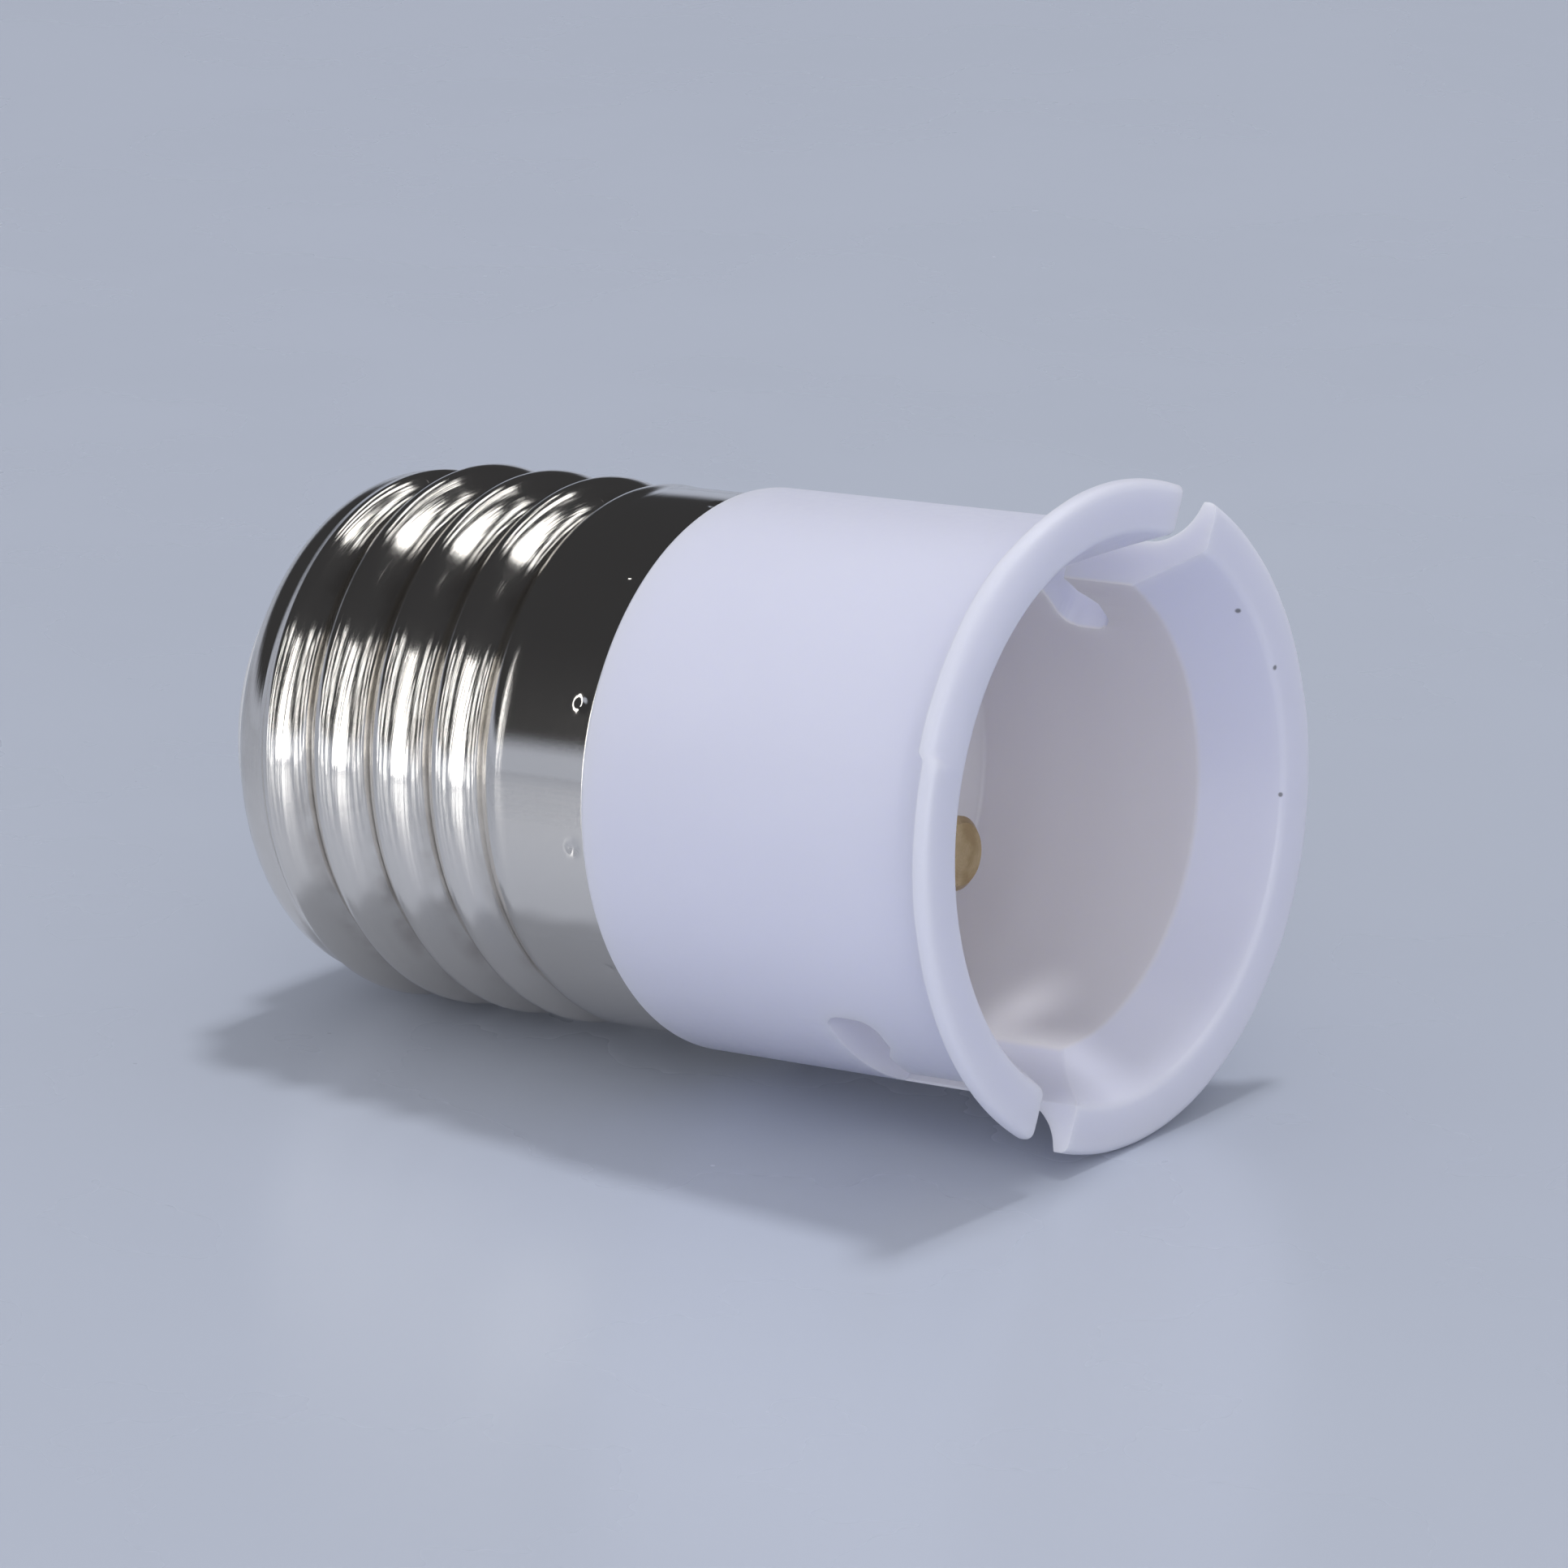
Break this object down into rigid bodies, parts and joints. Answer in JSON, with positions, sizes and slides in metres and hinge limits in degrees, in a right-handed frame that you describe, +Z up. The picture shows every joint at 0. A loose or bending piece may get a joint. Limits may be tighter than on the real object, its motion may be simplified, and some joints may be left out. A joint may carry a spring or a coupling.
{
  "type": "lamp socket adapter",
  "caption": "Bayonet lamp holder with a flared mouth and J-shaped slots on a plated screw lamp cap, with sprung brass contacts inside. It lies on its side.",
  "frame": {"origin": "on the surface that the adapter lies on, under the middle of its box", "axes": "+Z up, +X towards the open mouth along the tilted axis's shadow on the ground"},
  "size_m": [0.0486, 0.0312, 0.0313],
  "materials": {
    "white_plastic": "satin white moulding",
    "nickel_shell": "bright nickel plating",
    "base_insulator": "white moulding",
    "contact_metal": "tinned brass",
    "brass": "turned and pressed brass",
    "spring_steel": "drawn wire",
    "terminal_board": "laminated board"
  },
  "bodies": {
    "holder": {"holder_body": "white_plastic", "screw_shell": "nickel_shell", "base_plug": "base_insulator", "centre_contact": "contact_metal", "terminal_carrier": "terminal_board", "shell_strip": "brass", "centre_strip": "brass", "plunger_barrel_a": "brass", "plunger_barrel_b": "brass", "plunger_spring_a": "spring_steel", "plunger_spring_b": "spring_steel"},
    "contact_a": {"contact_plunger_a": "brass"},
    "contact_b": {"contact_plunger_b": "brass"}
  },
  "joints": [
    {"name": "contact_a_press", "type": "slide", "parent": "holder", "child": "contact_a", "axis": [-0.998, 0, -0.0627], "range_m": [0, 0.0034], "stiffness_N_per_m": 1000, "springref_m": -0.003, "deforming": ["plunger_spring_a"]},
    {"name": "contact_b_press", "type": "slide", "parent": "holder", "child": "contact_b", "axis": [-0.998, 0, -0.0627], "range_m": [0, 0.0034], "stiffness_N_per_m": 1000, "springref_m": -0.003, "deforming": ["plunger_spring_b"]}
  ]
}
